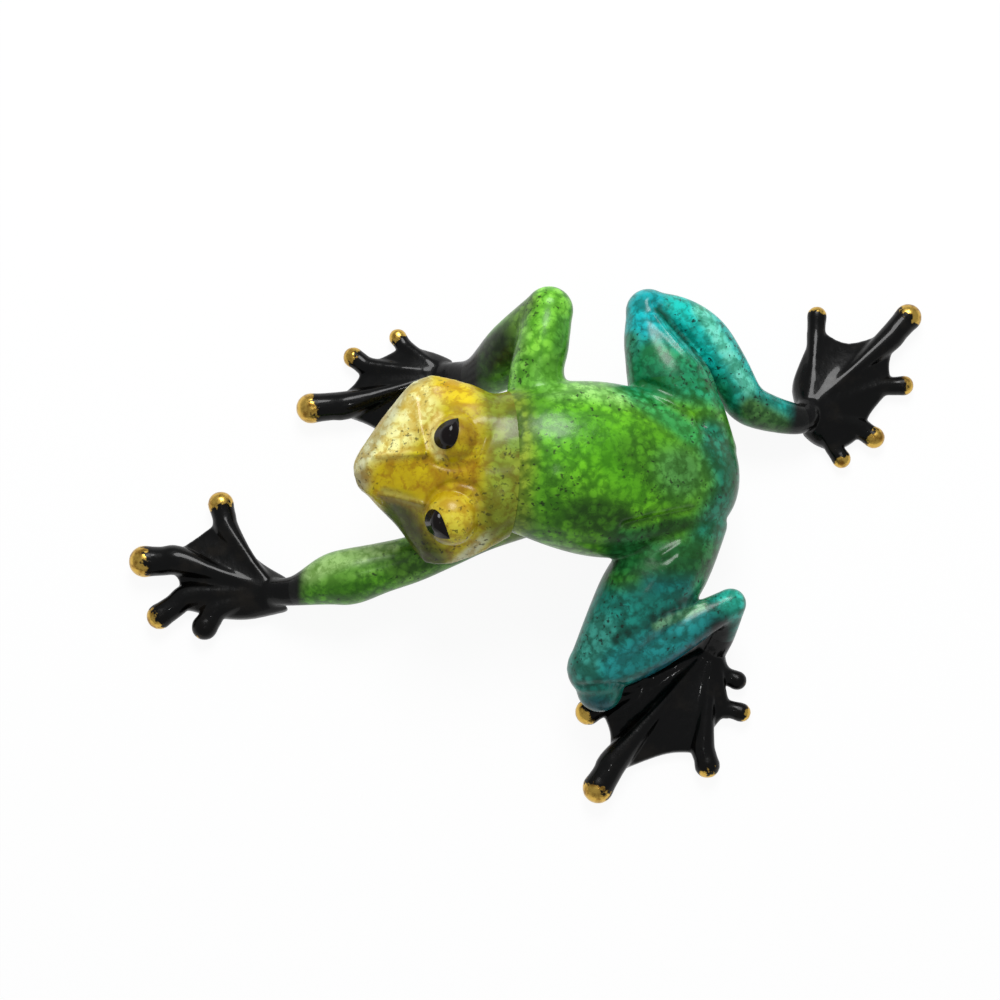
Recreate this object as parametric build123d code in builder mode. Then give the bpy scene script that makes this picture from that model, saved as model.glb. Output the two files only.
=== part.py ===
"""Frog figurine, a bronze cast in ten pieces that are pinned together and patinated.

The frog crawls over the surface Z = 0 with its head towards -X and its right side towards +Y.
Torso and head are hollow castings lined up by a sleeve in the neck. Arms, legs, hands and feet
are solid castings, each butted on a flat joint face with a dowel through it. The toes end in
bare bronze tips on pegs, and the pupils are black inlays let into the eye domes.
All sizes are millimetres.
"""

import os
from math import cos, radians, sin, sqrt

from build123d import *

# Walls, fits and fasteners
TORSO_WALL = 4.0
HEAD_WALL = 4.0
FIT_CLEARANCE = 0.05  # radial play of every peg, dowel, sleeve and inlay
END_GAP = 0.2  # room left past the end of a dowel or peg in its hole
LIMB_DOWEL_DIAMETER = 3.0  # shoulders and hips
LIMB_DOWEL_LENGTH = 9.0
PAW_DOWEL_DIAMETER = 2.0  # wrists and ankles
PAW_DOWEL_LENGTH = 8.0
SLEEVE_DIAMETER = 10.0
SLEEVE_WALL = 1.5
SLEEVE_LENGTH = 12.0
PLUG_SHANK_DIAMETER = 5.0
PLUG_HEAD_DIAMETER = 7.5
PLUG_HEAD_THICKNESS = 1.6
PLUG_LENGTH = 6.0
PLUG_SEAT = Vector(16.0, 12.9, 8.2)  # middle of the plug's outer face, under the belly
TOE_PEG_DIAMETER = 1.4
TOE_PEG_LENGTH = 2.0

# Hands and feet
WEB_THICKNESS = 1.9
SOLE_TRIM = 0.35  # depth of the flat that the soles and toes are ground to
TIP_SEAT = 0.55  # where a tip's flat seat cuts its ball, in ball radii behind the middle
TOE_ROOT = 1.0  # toe radius at the palm, in tip radii
TOE_KNUCKLE = 1.0  # and at the knuckle
BALL_RATIO = 1.22  # balls at bends, palms and limb roots, in limb radii

# Eyes
EYE_RADIUS = 5.4
PUPIL_RADIUS = 2.2  # round end of the teardrop
PUPIL_POINT_RADIUS = 0.35
PUPIL_LENGTH = 4.6  # from the round end's middle to the point's
PUPIL_DEPTH = 0.9
PUPIL_PROUD = 0.25

HEAD_ROLL = 14.0  # degrees the head leans to its left
CROWN_SHIFT = 0.3  # and how far the crown leans further, for each millimetre of its height
LEAN_RUN = 16.0  # length from the neck joint over which that lean sets in
LIP_SHARE = 0.87  # upper edge of the lip: share of the lip's half width
LIP_RISE = 0.3  # and share of the way up from the lip to the ridge

# Spine sections from the shoulders to the rump: middle, half width, half height
NECK_MIDDLE = Vector(-4.7, 13.4, 26.5)
NECK_HALF_WIDTH = 14.2
NECK_HALF_HEIGHT = 9.2
SPINE = [
    (Vector(3.4, 13.6, 24.5), 16.4, 12.2),
    (Vector(15.2, 12.9, 21.0), 18.0, 13.2),
    (Vector(28.8, 12.1, 17.0), 16.0, 11.6),
    (Vector(37.2, 11.8, 14.2), 11.6, 9.0),
    (Vector(41.0, 11.5, 12.8), 6.6, 5.6),
    (Vector(42.4, 11.4, 12.3), 2.4, 2.0),
]

# Head sections from the nape to the snout: middle, height of the crown, ridge beside it
# (out, up), bulge of the cheek, lip (out, up), jaw (out, up) and height of the throat
SKULL = [
    (Vector(-10.4, 12.4, 27.8), 7.6, (8.8, 6.8), 1.1, (16.9, -0.6), (11.0, -6.4), -8.4),
    (Vector(-18.4, 11.4, 28.0), 5.8, (6.6, 5.5), 0.3, (18.9, -2.4), (13.0, -6.8), -7.8),
    (Vector(-23.5, 11.4, 27.4), 4.9, (4.7, 4.7), 0.0, (17.5, -2.5), (10.5, -6.2), -7.2),
    (Vector(-28.2, 11.3, 26.4), 4.1, (4.1, 3.9), 0.0, (12.0, -2.3), (7.5, -5.2), -6.0),
    (Vector(-33.0, 10.9, 25.0), 2.6, (2.6, 2.4), 0.0, (6.0, -1.6), (4.0, -3.6), -4.2),
    (Vector(-35.2, 10.4, 24.2), 0.9, (1.0, 0.8), 0.0, (2.2, -0.5), (1.4, -1.5), -1.7),
]
NAPE_ANGLES = (-48, -8, 15, 37, 60)  # where the nape's oval meets the jaw, lip, cheek and ridge
RIGHT_EYE = Vector(-15.2, 16.4, 32.2)
LEFT_EYE = Vector(-15.9, 0.9, 30.4)
# Each pupil's middle lies this way from the eye's, and its point this way from its round end
RIGHT_GAZE = Vector(-0.27, 0.12, 0.955)
LEFT_GAZE = Vector(-0.57, -0.46, 0.68)
RIGHT_PUPIL_WAY = Vector(0.52, 0.85, 0.0)
LEFT_PUPIL_WAY = Vector(0.62, -0.79, 0.0)

# Flat joint faces. Each normal points away from the torso.
NECK = Plane(NECK_MIDDLE, x_dir=(0, 1, 0), z_dir=(-8.1, -0.2, 2.0))
RIGHT_SHOULDER = Plane((1.2, 31.5, 24.8), x_dir=(0, 0, 1), z_dir=(0, 1, 0))
LEFT_SHOULDER = Plane((-9.0, 2.4, 13.0), x_dir=(0, 0, 1), z_dir=(-15.6, -5.6, -5.0))
RIGHT_HIP = Plane((29.2, 31.2, 18.2), x_dir=(0, 0, 1), z_dir=(0, 1, 0))
LEFT_HIP = Plane((27.4, -6.0, 15.0), x_dir=(0, 0, 1), z_dir=(0, -1, 0))
RIGHT_WRIST = Plane((-12.2, 35.9, 7.9), x_dir=(0, 0, 1), z_dir=(-6.3, 0.2, -4.6))
LEFT_WRIST = Plane((-49.0, -9.6, 6.0), x_dir=(0, 0, 1), z_dir=(-5.6, 0.0, -2.6))
RIGHT_ANKLE = Plane((57.4, 27.4, 5.6), x_dir=(0, 0, 1), z_dir=(4.1, 1.3, -2.3))
LEFT_ANKLE = Plane((39.6, -18.4, 7.4), x_dir=(0, 0, 1), z_dir=(-2.5, -5.1, -6.8))

# Limb roots on the torso: a point inside it and the radius there
RIGHT_SHOULDER_ROOT = (Vector(3.6, 22.5, 23.0), 6.3)
LEFT_SHOULDER_ROOT = (Vector(2.5, 6.6, 17.0), 5.8)
RIGHT_HIP_ROOT = (Vector(34.0, 17.5, 15.2), 7.3)
LEFT_HIP_ROOT = (Vector(32.6, 5.5, 14.5), 7.6)

# Joint radii, measured square to the limb
RIGHT_SHOULDER_RADIUS = 5.6
LEFT_SHOULDER_RADIUS = 4.6
RIGHT_HIP_RADIUS = 8.6
LEFT_HIP_RADIUS = 8.6
RIGHT_WRIST_RADIUS = 4.4
LEFT_WRIST_RADIUS = 4.0
RIGHT_ANKLE_RADIUS = 3.6
LEFT_ANKLE_RADIUS = 3.0

# Limb stations between the joint faces: point and radius
RIGHT_UPPER_ARM = [(Vector(2.4, 38.1, 26.0), 5.2), (Vector(3.8, 45.2, 26.0), 4.1)]
RIGHT_FOREARM = [
    (Vector(3.8, 45.2, 26.0), 3.9),
    (Vector(-3.2, 40.2, 17.5), 5.5),
    (Vector(-7.2, 37.4, 12.0), 5.4),
]
LEFT_ARM = [
    (Vector(-16.8, -0.7, 11.0), 4.5),
    (Vector(-24.3, -3.5, 9.6), 4.8),
    (Vector(-31.0, -5.3, 9.0), 5.2),
    (Vector(-37.0, -6.9, 8.4), 5.8),
    (Vector(-41.7, -7.6, 7.8), 5.4),
]
RIGHT_THIGH = [(Vector(25.4, 40.4, 19.4), 6.0), (Vector(24.6, 47.0, 19.6), 3.8)]
RIGHT_SHANK = [
    (Vector(24.6, 47.0, 19.6), 3.6),
    (Vector(31.3, 45.7, 17.8), 4.4),
    (Vector(36.6, 42.4, 15.5), 4.7),
    (Vector(41.2, 36.7, 12.4), 4.5),
    (Vector(45.2, 30.6, 9.4), 3.7),
]
RIGHT_TARSUS = [(Vector(45.2, 30.6, 9.4), 3.5), (Vector(50.0, 28.4, 7.8), 3.9)]
LEFT_THIGH = [(Vector(21.0, -15.5, 15.0), 8.4), (Vector(13.4, -27.0, 13.0), 5.0)]
LEFT_SHANK = [
    (Vector(13.4, -27.0, 13.0), 4.7),
    (Vector(22.9, -23.7, 13.2), 5.0),
    (Vector(30.0, -19.8, 13.6), 4.4),
    (Vector(36.0, -16.4, 13.8), 3.6),
    (Vector(41.2, -13.6, 13.4), 2.7),
]

# Palms: middle and radius
RIGHT_PALM = (Vector(-18.1, 37.3, 3.3), 3.0)
LEFT_PALM = (Vector(-54.2, -9.4, 3.3), 2.9)
RIGHT_SOLE = (Vector(61.5, 29.0, 3.2), 2.8)
LEFT_SOLE = (Vector(38.0, -21.3, 3.2), 2.8)

# Toes in order round the paw: tip x, y and radius, then the knuckle's x, y.
# The web's edge runs from knuckle to knuckle through the points between them.
RIGHT_HAND_TOES = [
    (-28.3, 46.5, 1.8, -26.7, 44.3),
    (-37.8, 42.0, 2.1, -34.6, 39.9),
    (-46.6, 30.5, 3.1, -38.4, 31.3),
    (-30.8, 21.9, 2.4, -25.0, 27.0),
]
RIGHT_HAND_WEB = [(-17.9, 42.6), (-31.9, 42.4), (-37.8, 37.1), (-33.9, 26.7), (-19.8, 30.6)]
LEFT_HAND_TOES = [
    (-65.5, 9.6, 2.6, -63.9, 4.0),
    (-81.2, -2.8, 3.2, -73.8, -2.7),
    (-77.8, -14.4, 2.6, -71.5, -9.9),
    (-68.3, -16.7, 2.6, -66.0, -13.1),
]
LEFT_HAND_WEB = [(-57.0, 0.5), (-70.9, 2.1), (-73.8, -6.8), (-71.2, -12.8), (-58.6, -14.9)]
RIGHT_FOOT_TOES = [
    (62.1, 51.2, 2.0, 61.7, 45.7),
    (81.6, 50.7, 2.8, 76.7, 45.2),
    (80.3, 35.8, 2.0, 75.5, 35.5),
    (73.5, 24.3, 2.2, 70.6, 26.2),
    (66.5, 19.7, 1.9, 64.7, 22.5),
]
RIGHT_FOOT_WEB = [
    (57.0, 37.2),
    (68.8, 44.9),
    (77.2, 40.8),
    (72.9, 29.9),
    (68.4, 23.2),
    (61.3, 23.6),
]
LEFT_FOOT_TOES = [
    (12.1, -34.6, 2.6, 15.8, -32.6),
    (14.0, -50.4, 3.1, 17.8, -44.3),
    (36.7, -45.7, 2.5, 35.9, -41.6),
    (44.0, -34.6, 1.9, 40.0, -33.4),
    (43.3, -27.9, 1.9, 40.5, -26.7),
]
LEFT_FOOT_WEB = [
    (25.1, -25.3),
    (17.0, -39.4),
    (28.1, -43.0),
    (38.0, -37.9),
    (41.2, -30.4),
    (40.9, -23.0),
]


def round_section(point, direction, radius):
    """A round section square to a limb."""
    with BuildSketch(Plane(point, x_dir=(0, 0, 1), z_dir=direction)) as section:
        Circle(radius)
    return section.sketch


def joint_section(joint, radius, limb_direction):
    """A limb's section on a joint face, drawn out where the face lies askew to the limb."""
    askew = abs(joint.z_dir.dot(limb_direction.normalized()))
    with BuildSketch(joint) as section:
        Ellipse(radius, radius / askew)
    return section.sketch


def grow_limb(stations, start=None, end=None):
    """Loft a limb through (point, radius) stations. start and end are (joint, radius) faces."""
    points = [point for point, _ in stations]
    if start:
        points.insert(0, start[0].origin)
    if end:
        points.append(end[0].origin)
    sections = []
    for point, radius in stations:
        here = points.index(point)
        ahead = points[min(here + 1, len(points) - 1)]
        behind = points[max(here - 1, 0)]
        sections.append(round_section(point, ahead - behind, radius))
    if start:
        sections.insert(0, joint_section(*start, points[1] - points[0]))
    if end:
        sections.append(joint_section(*end, points[-1] - points[-2]))
    loft(sections)


def ball(station, pole=Vector(0, 0, 1)):
    """A ball that rounds off an end of a limb."""
    point, radius = station
    with Locations(Plane(point, z_dir=pole)):
        Sphere(radius * BALL_RATIO)


def bend_ball(before, station, after):
    """A ball that rounds off a bend, its pole turned to the outside of the bend."""
    ball(station, station[0] - (before + after) * 0.5)


def dowel_hole(joint, diameter, length):
    """Bore for a dowel that lies half on either side of a joint face."""
    with Locations(joint):
        Cylinder(diameter / 2 + FIT_CLEARANCE, length + 2 * END_GAP, mode=Mode.SUBTRACT)


def export(part, name):
    """Label a finished piece and write its file."""
    part.label = name
    export_step(part, f"parts/{name}.step")


def make_dowel(name, joint, diameter, length):
    """A plain dowel, half in each of the two castings that meet at the joint."""
    with BuildPart(joint) as dowel:
        Cylinder(diameter / 2, length)
    export(dowel.part, name)


def oval_section(plane, half_width, half_height):
    """A plain oval across the body."""
    with BuildSketch(plane) as section:
        Ellipse(half_width, half_height)
    return section.sketch


def torso_sections(inset, spine):
    """Sections square to the spine, each pulled in by inset."""
    middles = [NECK_MIDDLE, *[middle for middle, _, _ in SPINE]]
    sections = []
    for index, (middle, half_width, half_height) in enumerate(spine):
        ahead = middles[min(index + 2, len(middles) - 1)]
        plane = Plane(middle, x_dir=(0, 1, 0), z_dir=ahead - middles[index])
        sections.append(oval_section(plane, half_width - inset, half_height - inset))
    return sections


def head_section(plane, crown, side, throat, shift):
    """A section across the head, up the points of its left side and down those of its right."""
    left = [(out + shift * max(up, 0), up) for out, up in side]
    right = [(shift * max(up, 0) - out, up) for out, up in reversed(side)]
    with BuildSketch(plane) as section:
        with BuildLine():
            Spline((0, throat), *left, (shift * crown, crown), *right, periodic=True)
        make_face()
    return section.sketch


def nape_section():
    """The head's section on the neck joint, the same oval as the torso's."""
    plane = Plane(NECK.origin, x_dir=-NECK.x_dir, z_dir=NECK.z_dir)
    side = []
    for angle in NAPE_ANGLES:
        out = NECK_HALF_WIDTH * cos(radians(angle))
        side.append((out, NECK_HALF_HEIGHT * sin(radians(angle))))
    return head_section(plane, NECK_HALF_HEIGHT, side, -NECK_HALF_HEIGHT, 0)


def lean_share(middle):
    """How much of the head's lean a section has, by its way from the neck joint."""
    return min(1, (middle - NECK_MIDDLE).length / LEAN_RUN)


def skull_planes():
    """The planes of the head sections, square to the head's run and leaning with it."""
    middles = [NECK_MIDDLE, *[row[0] for row in SKULL]]
    planes = []
    for index, middle in enumerate(middles[1:]):
        ahead = middles[min(index + 2, len(middles) - 1)]
        roll = radians(HEAD_ROLL * lean_share(middle))
        leftward = Vector(0, -cos(roll), -sin(roll))
        planes.append(Plane(middle, x_dir=leftward, z_dir=ahead - middles[index]))
    return planes


def skull_sections():
    """The head's outer sections, each with a flat top, slanting cheeks and a lip."""
    sections = []
    for plane, (middle, crown, ridge, bulge, lip, jaw, throat) in zip(skull_planes(), SKULL):
        edge = (lip[0] * LIP_SHARE + bulge, lip[1] + (ridge[1] - lip[1]) * LIP_RISE)
        cheek = ((ridge[0] + edge[0] + bulge) / 2, (ridge[1] + edge[1] + bulge) / 2)
        side = [jaw, lip, edge, cheek, ridge]
        shift = CROWN_SHIFT * lean_share(middle)
        sections.append(head_section(plane, crown, side, throat, shift))
    return sections


def head_cavity_sections():
    """Plain ovals inside the head, with walls left all round, that end short of the snout."""
    sections = []
    for plane, (_, crown, ridge, _, lip, _, throat) in zip(skull_planes()[:-2], SKULL):
        middle = plane.from_local_coords(Vector(0, (crown + throat) / 2))
        core = Plane(middle, x_dir=plane.x_dir, z_dir=plane.z_dir)
        half_height = (crown - throat) / 2 - HEAD_WALL
        sections.append(oval_section(core, (ridge[0] + lip[0]) / 2, half_height))
    return sections


def eye_frame(eye, gaze, way):
    """An eye's own frame, turned so that its poles and its seam keep clear of the pupil."""
    return Plane(eye, x_dir=-gaze, z_dir=gaze.cross(way))


def pupil_patch(eye, gaze, way, inner, outer, margin):
    """A teardrop patch of the eye dome between two radii, its point turned the given way."""
    with BuildPart() as patch:
        with Locations(eye_frame(eye, gaze, way)):
            Sphere(outer)
            Sphere(inner, mode=Mode.SUBTRACT)
        with BuildSketch(Plane(eye, x_dir=way, z_dir=gaze).offset(-margin)):
            with Locations((-PUPIL_LENGTH / 2, 0)):
                Circle(PUPIL_RADIUS + margin)
            with Locations((PUPIL_LENGTH / 2, 0)):
                Circle(PUPIL_POINT_RADIUS + margin)
            make_hull()
        extrude(amount=2 * outer, mode=Mode.INTERSECT)
    return patch.part


def toe_seat(toe):
    """The plane of a toe tip's flat seat. Its normal runs along the toe, towards the tip."""
    x, y, radius, knuckle_x, knuckle_y = toe
    along = Vector(x - knuckle_x, y - knuckle_y).normalized()
    middle = Vector(x, y, radius - SOLE_TRIM)
    return Plane(middle - along * (TIP_SEAT * radius), x_dir=(0, 0, 1), z_dir=along)


def grow_toe(palm, toe):
    """Loft a toe from the palm over its knuckle to the seat of its tip."""
    _, _, radius, knuckle_x, knuckle_y = toe
    seat = toe_seat(toe)
    knuckle = Vector(knuckle_x, knuckle_y, radius - SOLE_TRIM)
    root = round_section(palm, knuckle - palm, radius * TOE_ROOT)
    bend = round_section(knuckle, seat.origin - palm, radius * TOE_KNUCKLE)
    with BuildSketch(seat) as end:
        Circle(radius * sqrt(1 - TIP_SEAT**2))
    loft([root, bend, end.sketch])


def web_outline(palm, toes, edge):
    """The web's outline: arcs from the palm and from knuckle to knuckle along its edge."""
    corners = [Vector(palm.X, palm.Y)]
    corners += [Vector(knuckle_x, knuckle_y) for _, _, _, knuckle_x, knuckle_y in toes]
    corners.append(Vector(palm.X, palm.Y))
    with BuildSketch(Plane.XY.offset(-SOLE_TRIM)) as outline:
        with BuildLine():
            for start, through, end in zip(corners, edge, corners[1:]):
                ThreePointArc(start, Vector(*through), end)
        make_face()
    return outline.sketch


def make_paw(name, joint, joint_radius, palm_station, toes, edge):
    """A webbed hand or foot, ground flat underneath, and the tips on its toes."""
    palm = palm_station[0]
    with BuildPart() as paw:
        grow_limb([palm_station], start=(joint, joint_radius))
        ball(palm_station)
        for toe in toes:
            grow_toe(palm, toe)
        extrude(web_outline(palm, toes, edge), amount=WEB_THICKNESS + SOLE_TRIM)
        split(bisect_by=Plane.XY, keep=Keep.TOP)
        with Locations(*[toe_seat(toe) for toe in toes]):
            Hole(TOE_PEG_DIAMETER / 2 + FIT_CLEARANCE, depth=TOE_PEG_LENGTH + END_GAP)
        dowel_hole(joint, PAW_DOWEL_DIAMETER, PAW_DOWEL_LENGTH)
    export(paw.part, name)

    tips = []
    for toe in toes:
        seat = toe_seat(toe)
        with BuildPart() as tip:
            with Locations((toe[0], toe[1], toe[2] - SOLE_TRIM)):
                Sphere(toe[2])
            split(bisect_by=seat, keep=Keep.TOP)
            split(bisect_by=Plane.XY, keep=Keep.TOP)
            with BuildSketch(seat):
                Circle(TOE_PEG_DIAMETER / 2)
            extrude(amount=-TOE_PEG_LENGTH)
        tips.append(tip.part)
    export(Compound(children=tips), f"{name}_toe_tips")


os.makedirs("parts", exist_ok=True)

# Torso: hollow, with a short root for each limb
with BuildPart() as torso:
    loft([oval_section(NECK, NECK_HALF_WIDTH, NECK_HALF_HEIGHT), *torso_sections(0, SPINE)])
    for root, joint, radius in (
        (RIGHT_SHOULDER_ROOT, RIGHT_SHOULDER, RIGHT_SHOULDER_RADIUS),
        (LEFT_SHOULDER_ROOT, LEFT_SHOULDER, LEFT_SHOULDER_RADIUS),
        (RIGHT_HIP_ROOT, RIGHT_HIP, RIGHT_HIP_RADIUS),
        (LEFT_HIP_ROOT, LEFT_HIP, LEFT_HIP_RADIUS),
    ):
        grow_limb([root], end=(joint, radius))
        ball(root)
    loft(torso_sections(TORSO_WALL, SPINE[:-2]), mode=Mode.SUBTRACT)
    with Locations(NECK):
        Hole(SLEEVE_DIAMETER / 2 + FIT_CLEARANCE, depth=SLEEVE_LENGTH)
    for joint in (RIGHT_SHOULDER, LEFT_SHOULDER, RIGHT_HIP, LEFT_HIP):
        dowel_hole(joint, LIMB_DOWEL_DIAMETER, LIMB_DOWEL_LENGTH)
    with Locations(Plane(PLUG_SEAT, x_dir=(1, 0, 0), z_dir=(0, 0, -1))):
        CounterBoreHole(
            PLUG_SHANK_DIAMETER / 2 + FIT_CLEARANCE,
            PLUG_HEAD_DIAMETER / 2 + FIT_CLEARANCE,
            PLUG_HEAD_THICKNESS,
            depth=PLUG_LENGTH,
        )
export(torso.part, "torso")

# Pupils: inlays that stand a little proud of their recesses in the eye domes
recesses = []
for name, eye, gaze, way in (
    ("right_pupil", RIGHT_EYE, RIGHT_GAZE, RIGHT_PUPIL_WAY),
    ("left_pupil", LEFT_EYE, LEFT_GAZE, LEFT_PUPIL_WAY),
):
    inlay_floor = EYE_RADIUS - PUPIL_DEPTH
    export(pupil_patch(eye, gaze, way, inlay_floor, EYE_RADIUS + PUPIL_PROUD, 0), name)
    recess_floor = inlay_floor - FIT_CLEARANCE
    recess_top = EYE_RADIUS + PUPIL_DEPTH
    recesses.append(pupil_patch(eye, gaze, way, recess_floor, recess_top, FIT_CLEARANCE))

# Head: hollow, with two eye domes and a recess for each pupil
with BuildPart() as head:
    loft([nape_section(), *skull_sections()])
    with Locations(
        eye_frame(RIGHT_EYE, RIGHT_GAZE, RIGHT_PUPIL_WAY),
        eye_frame(LEFT_EYE, LEFT_GAZE, LEFT_PUPIL_WAY),
    ):
        Sphere(EYE_RADIUS)
    loft(head_cavity_sections(), mode=Mode.SUBTRACT)
    with Locations(-NECK):
        Hole(SLEEVE_DIAMETER / 2 + FIT_CLEARANCE, depth=SLEEVE_LENGTH)
    add(recesses, mode=Mode.SUBTRACT)
export(head.part, "head")

with BuildPart(NECK) as neck_sleeve:
    Cylinder(SLEEVE_DIAMETER / 2, SLEEVE_LENGTH)
    Cylinder(SLEEVE_DIAMETER / 2 - SLEEVE_WALL, SLEEVE_LENGTH, mode=Mode.SUBTRACT)
export(neck_sleeve.part, "neck_sleeve")

with BuildPart(Plane(PLUG_SEAT, x_dir=(1, 0, 0), z_dir=(0, 0, -1))) as belly_plug:
    bottom = (Align.CENTER, Align.CENTER, Align.MAX)
    Cylinder(PLUG_HEAD_DIAMETER / 2, PLUG_HEAD_THICKNESS, align=bottom)
    Cylinder(PLUG_SHANK_DIAMETER / 2, PLUG_LENGTH, align=bottom)
export(belly_plug.part, "belly_plug")

# Arms: the right one folds at the elbow, the left one reaches forward under the head
with BuildPart() as right_arm:
    grow_limb(RIGHT_UPPER_ARM, start=(RIGHT_SHOULDER, RIGHT_SHOULDER_RADIUS))
    bend_ball(RIGHT_SHOULDER.origin, RIGHT_UPPER_ARM[-1], RIGHT_FOREARM[1][0])
    grow_limb(RIGHT_FOREARM, end=(RIGHT_WRIST, RIGHT_WRIST_RADIUS))
    dowel_hole(RIGHT_SHOULDER, LIMB_DOWEL_DIAMETER, LIMB_DOWEL_LENGTH)
    dowel_hole(RIGHT_WRIST, PAW_DOWEL_DIAMETER, PAW_DOWEL_LENGTH)
export(right_arm.part, "right_arm")

with BuildPart() as left_arm:
    grow_limb(
        LEFT_ARM,
        start=(LEFT_SHOULDER, LEFT_SHOULDER_RADIUS),
        end=(LEFT_WRIST, LEFT_WRIST_RADIUS),
    )
    dowel_hole(LEFT_SHOULDER, LIMB_DOWEL_DIAMETER, LIMB_DOWEL_LENGTH)
    dowel_hole(LEFT_WRIST, PAW_DOWEL_DIAMETER, PAW_DOWEL_LENGTH)
export(left_arm.part, "left_arm")

# Legs: thigh out to the knee, shank folded back, then the tarsus or the heel
with BuildPart() as right_leg:
    grow_limb(RIGHT_THIGH, start=(RIGHT_HIP, RIGHT_HIP_RADIUS))
    bend_ball(RIGHT_HIP.origin, RIGHT_THIGH[-1], RIGHT_SHANK[1][0])
    grow_limb(RIGHT_SHANK)
    bend_ball(RIGHT_SHANK[-2][0], RIGHT_SHANK[-1], RIGHT_TARSUS[1][0])
    grow_limb(RIGHT_TARSUS, end=(RIGHT_ANKLE, RIGHT_ANKLE_RADIUS))
    dowel_hole(RIGHT_HIP, LIMB_DOWEL_DIAMETER, LIMB_DOWEL_LENGTH)
    dowel_hole(RIGHT_ANKLE, PAW_DOWEL_DIAMETER, PAW_DOWEL_LENGTH)
export(right_leg.part, "right_leg")

with BuildPart() as left_leg:
    grow_limb(LEFT_THIGH, start=(LEFT_HIP, LEFT_HIP_RADIUS))
    bend_ball(LEFT_HIP.origin, LEFT_THIGH[-1], LEFT_SHANK[1][0])
    grow_limb(LEFT_SHANK)
    bend_ball(LEFT_SHANK[-2][0], LEFT_SHANK[-1], LEFT_ANKLE.origin)
    grow_limb([LEFT_SHANK[-1]], end=(LEFT_ANKLE, LEFT_ANKLE_RADIUS))
    dowel_hole(LEFT_HIP, LIMB_DOWEL_DIAMETER, LIMB_DOWEL_LENGTH)
    dowel_hole(LEFT_ANKLE, PAW_DOWEL_DIAMETER, PAW_DOWEL_LENGTH)
export(left_leg.part, "left_leg")

# Dowels at the joint faces
for name, joint in (
    ("right_shoulder_dowel", RIGHT_SHOULDER),
    ("left_shoulder_dowel", LEFT_SHOULDER),
    ("right_hip_dowel", RIGHT_HIP),
    ("left_hip_dowel", LEFT_HIP),
):
    make_dowel(name, joint, LIMB_DOWEL_DIAMETER, LIMB_DOWEL_LENGTH)
for name, joint in (
    ("right_wrist_dowel", RIGHT_WRIST),
    ("left_wrist_dowel", LEFT_WRIST),
    ("right_ankle_dowel", RIGHT_ANKLE),
    ("left_ankle_dowel", LEFT_ANKLE),
):
    make_dowel(name, joint, PAW_DOWEL_DIAMETER, PAW_DOWEL_LENGTH)

# Webbed hands and feet with their toe tips
make_paw("right_hand", RIGHT_WRIST, RIGHT_WRIST_RADIUS, RIGHT_PALM, RIGHT_HAND_TOES, RIGHT_HAND_WEB)
make_paw("left_hand", LEFT_WRIST, LEFT_WRIST_RADIUS, LEFT_PALM, LEFT_HAND_TOES, LEFT_HAND_WEB)
make_paw("right_foot", RIGHT_ANKLE, RIGHT_ANKLE_RADIUS, RIGHT_SOLE, RIGHT_FOOT_TOES, RIGHT_FOOT_WEB)
make_paw("left_foot", LEFT_ANKLE, LEFT_ANKLE_RADIUS, LEFT_SOLE, LEFT_FOOT_TOES, LEFT_FOOT_WEB)
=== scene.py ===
"""Looks of the frog figurine: modelled skin, patina, bare toe tips, floor, light and camera.

Everything is modelled in millimetres in the frame of the CAD model and scaled to metres at the end.
The body is melted together from tubes, balls and sheets, rubbed smooth, carved, and then cut at the
same flat joints as the castings, so that each piece stands for one CAD node. The head is melted on
its own: its skin is cut at the neck, and the torso's skin starts just past that joint.
"""

import math

import bmesh
import bpy
import numpy as np
from mathutils import Matrix, Vector
from mathutils.bvhtree import BVHTree
from mathutils.kdtree import KDTree


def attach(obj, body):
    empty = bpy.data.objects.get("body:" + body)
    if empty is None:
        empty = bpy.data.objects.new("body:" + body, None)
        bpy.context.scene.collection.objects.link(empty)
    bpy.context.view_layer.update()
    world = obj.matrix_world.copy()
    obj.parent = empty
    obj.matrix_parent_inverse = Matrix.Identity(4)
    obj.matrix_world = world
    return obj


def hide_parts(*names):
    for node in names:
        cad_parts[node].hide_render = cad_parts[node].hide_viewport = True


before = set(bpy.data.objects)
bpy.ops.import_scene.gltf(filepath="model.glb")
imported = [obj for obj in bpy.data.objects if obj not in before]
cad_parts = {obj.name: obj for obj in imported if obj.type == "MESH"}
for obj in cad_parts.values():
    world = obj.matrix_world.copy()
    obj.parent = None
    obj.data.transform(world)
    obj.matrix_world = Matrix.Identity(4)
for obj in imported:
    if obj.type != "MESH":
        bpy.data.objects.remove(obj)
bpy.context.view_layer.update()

MM = 0.001
UP = Vector((0, 0, 1))
BODY_GRAIN = 0.42  # size of the melted skin's facets, in millimetres
HEAD_GRAIN = 0.34
RUB_STRENGTH = 0.5  # share of the way that one rub moves a point to the middle of its neighbours
REGAIN = 0.22  # what rubbing takes off the skin and is put back
OVERHEAD = 80  # a height above the whole frog
STROKE_STEPS = 12  # points to each span of a carved line
STROKE_REACH = 2.2  # a carved line ends this many half widths from its middle
CUT_TOLERANCE = 1e-4


# Modelling helpers, in millimetres


def spline(stations, steps):
    """Smooth rows of numbers through the stations, steps rows to each span."""
    rows = []
    last = len(stations) - 1
    for i in range(last):
        before, here = stations[max(i - 1, 0)], stations[i]
        ahead, beyond = stations[i + 1], stations[min(i + 2, last)]
        for step in range(steps):
            t = step / steps
            row = []
            for p, q, r, s in zip(before, here, ahead, beyond):
                bend = (2 * p - 5 * q + 4 * r - s) * t * t + (3 * q - p - 3 * r + s) * t**3
                row.append(0.5 * (2 * q + (r - p) * t + bend))
            rows.append(row)
    rows.append(list(stations[-1]))
    return rows


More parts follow.
